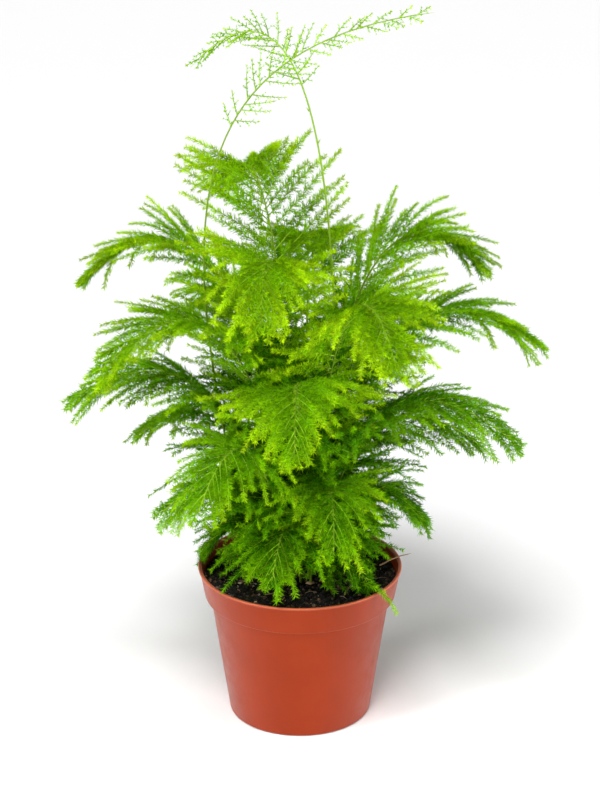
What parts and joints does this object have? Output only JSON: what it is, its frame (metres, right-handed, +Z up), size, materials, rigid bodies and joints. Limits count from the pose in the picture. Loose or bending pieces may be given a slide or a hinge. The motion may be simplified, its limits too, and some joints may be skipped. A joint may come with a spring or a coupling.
{
  "type": "potted asparagus fern",
  "caption": "Bushy asparagus fern with flat feathery fronds and tall wiry shoots, growing in a stepped-rim plastic grower's pot filled with soil.",
  "frame": {"origin": "centre of the pot's flat underside, on the surface that the pot stands on", "axes": "+Z up along the pot's axis; -Y is the side that faces the viewer; +X to the viewer's right"},
  "size_m": [0.2735, 0.2729, 0.4253],
  "materials": {
    "pot_plastic": "satin moulded terracotta-coloured plastic",
    "soil": "dark moist crumbly potting soil",
    "foliage": "matt living green needles on thin green stems",
    "young_foliage": "matt yellow-green young growth"
  },
  "bodies": {
    "root": {"pot": "pot_plastic", "soil": "soil", "frond_01": "foliage", "frond_02": "foliage", "frond_03": "foliage", "frond_04": "foliage", "frond_05": "foliage", "frond_06": "foliage", "frond_07": "foliage", "frond_08": "foliage", "frond_09": "foliage", "frond_10": "foliage", "frond_11": "foliage", "frond_12": "foliage", "frond_13": "foliage", "frond_14": "foliage", "frond_15": "foliage", "frond_16": "foliage", "frond_17": "foliage", "frond_18": "foliage", "frond_19": "foliage", "frond_20": "foliage", "frond_21": "foliage", "frond_22": "foliage", "frond_23": "foliage", "frond_24": "foliage", "frond_25": "foliage", "frond_26": "foliage", "shoot_1": "young_foliage", "shoot_2": "young_foliage"}
  },
  "joints": []
}
